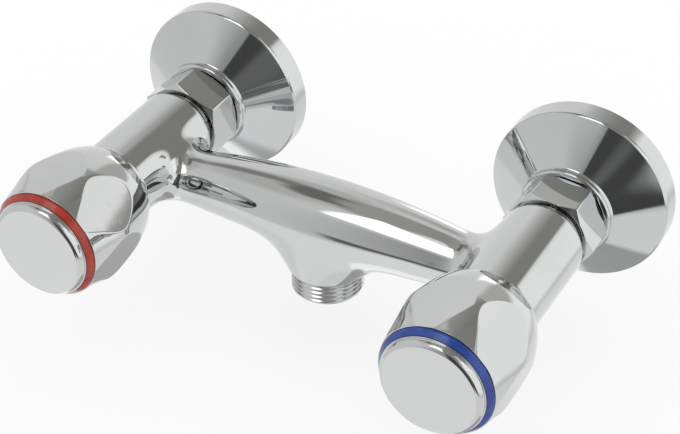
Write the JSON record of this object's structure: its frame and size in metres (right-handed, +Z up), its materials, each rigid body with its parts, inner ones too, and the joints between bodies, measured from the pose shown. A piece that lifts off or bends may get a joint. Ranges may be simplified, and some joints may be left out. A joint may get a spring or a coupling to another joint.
{
  "type": "shower mixer",
  "caption": "Wall-mounted bath and shower mixer: two faceted knobs on parallel barrels joined by a bar, with a threaded hose outlet below and round cover flanges.",
  "frame": {"origin": "midway between the centre lines of the two wall tails, on the finished face of the wall", "axes": "+X from the hot side to the cold side, +Y into the wall, +Z up"},
  "size_m": [0.217, 0.1459, 0.0673],
  "materials": {
    "body_chrome": "polished chrome plate on cast brass",
    "flange_chrome": "polished chrome plate on pressed steel",
    "nut_chrome": "polished chrome plate on brass",
    "knob_chrome": "polished chrome plate on a light die casting",
    "cap_chrome": "satin-bright chrome plate on moulded plastic",
    "hot_ring_red": "glossy red moulded plastic",
    "cold_ring_blue": "glossy blue moulded plastic",
    "union_brass": "turned brass, dull, with thread",
    "bush_brass": "turned brass",
    "headwork_brass": "turned brass",
    "spindle_brass": "turned brass, fine lathe marks",
    "spring_steel": "phosphated spring steel",
    "stainless_screw": "turned stainless steel",
    "black_rubber": "smooth black nitrile rubber",
    "fibre_gasket": "pressed reddish fibre"
  },
  "bodies": {
    "hot_handle": {"hot_spindle": "spindle_brass", "hot_spindle_o_rings": "black_rubber", "hot_spindle_circlip": "spring_steel", "hot_knob": "knob_chrome", "hot_knob_bush": "spindle_brass", "hot_knob_screw": "stainless_screw", "hot_indicator_ring": "hot_ring_red", "hot_cap": "cap_chrome"},
    "hot_valve": {"hot_plunger": "spindle_brass", "hot_seat_washer": "black_rubber", "hot_washer_screw": "stainless_screw"},
    "cold_handle": {"cold_spindle": "spindle_brass", "cold_spindle_o_rings": "black_rubber", "cold_spindle_circlip": "spring_steel", "cold_knob": "knob_chrome", "cold_knob_bush": "spindle_brass", "cold_knob_screw": "stainless_screw", "cold_indicator_ring": "cold_ring_blue", "cold_cap": "cap_chrome"},
    "cold_valve": {"cold_plunger": "spindle_brass", "cold_seat_washer": "black_rubber", "cold_washer_screw": "stainless_screw"},
    "mixer": {"mixer_body": "body_chrome", "hot_eccentric_union": "union_brass", "hot_wall_flange": "flange_chrome", "hot_union_nut": "nut_chrome", "hot_tail_bush": "bush_brass", "hot_inlet_gasket": "fibre_gasket", "hot_headwork": "headwork_brass", "hot_headwork_gasket": "fibre_gasket", "cold_eccentric_union": "union_brass", "cold_wall_flange": "flange_chrome", "cold_union_nut": "nut_chrome", "cold_tail_bush": "bush_brass", "cold_inlet_gasket": "fibre_gasket", "cold_headwork": "headwork_brass", "cold_headwork_gasket": "fibre_gasket"}
  },
  "joints": [
    {"name": "hot_knob_turn", "type": "hinge", "parent": "mixer", "child": "hot_handle", "pos_m": [-0.075, -0.103, 0.0065], "axis": [0, -1, 0], "range_deg": [0, 810]},
    {"name": "hot_plunger_slide", "type": "slide", "parent": "mixer", "child": "hot_valve", "axis": [0, -1, 0], "range_m": [0, 0.0045]},
    {"name": "cold_knob_turn", "type": "hinge", "parent": "mixer", "child": "cold_handle", "pos_m": [0.075, -0.103, 0.0065], "axis": [0, -1, 0], "range_deg": [0, 810]},
    {"name": "cold_plunger_slide", "type": "slide", "parent": "mixer", "child": "cold_valve", "axis": [0, -1, 0], "range_m": [0, 0.0045]}
  ],
  "couplings": [
    {"joint": "hot_plunger_slide", "follows": "hot_knob_turn", "m_per_rad": 0.0003183},
    {"joint": "cold_plunger_slide", "follows": "cold_knob_turn", "m_per_rad": 0.0003183}
  ]
}
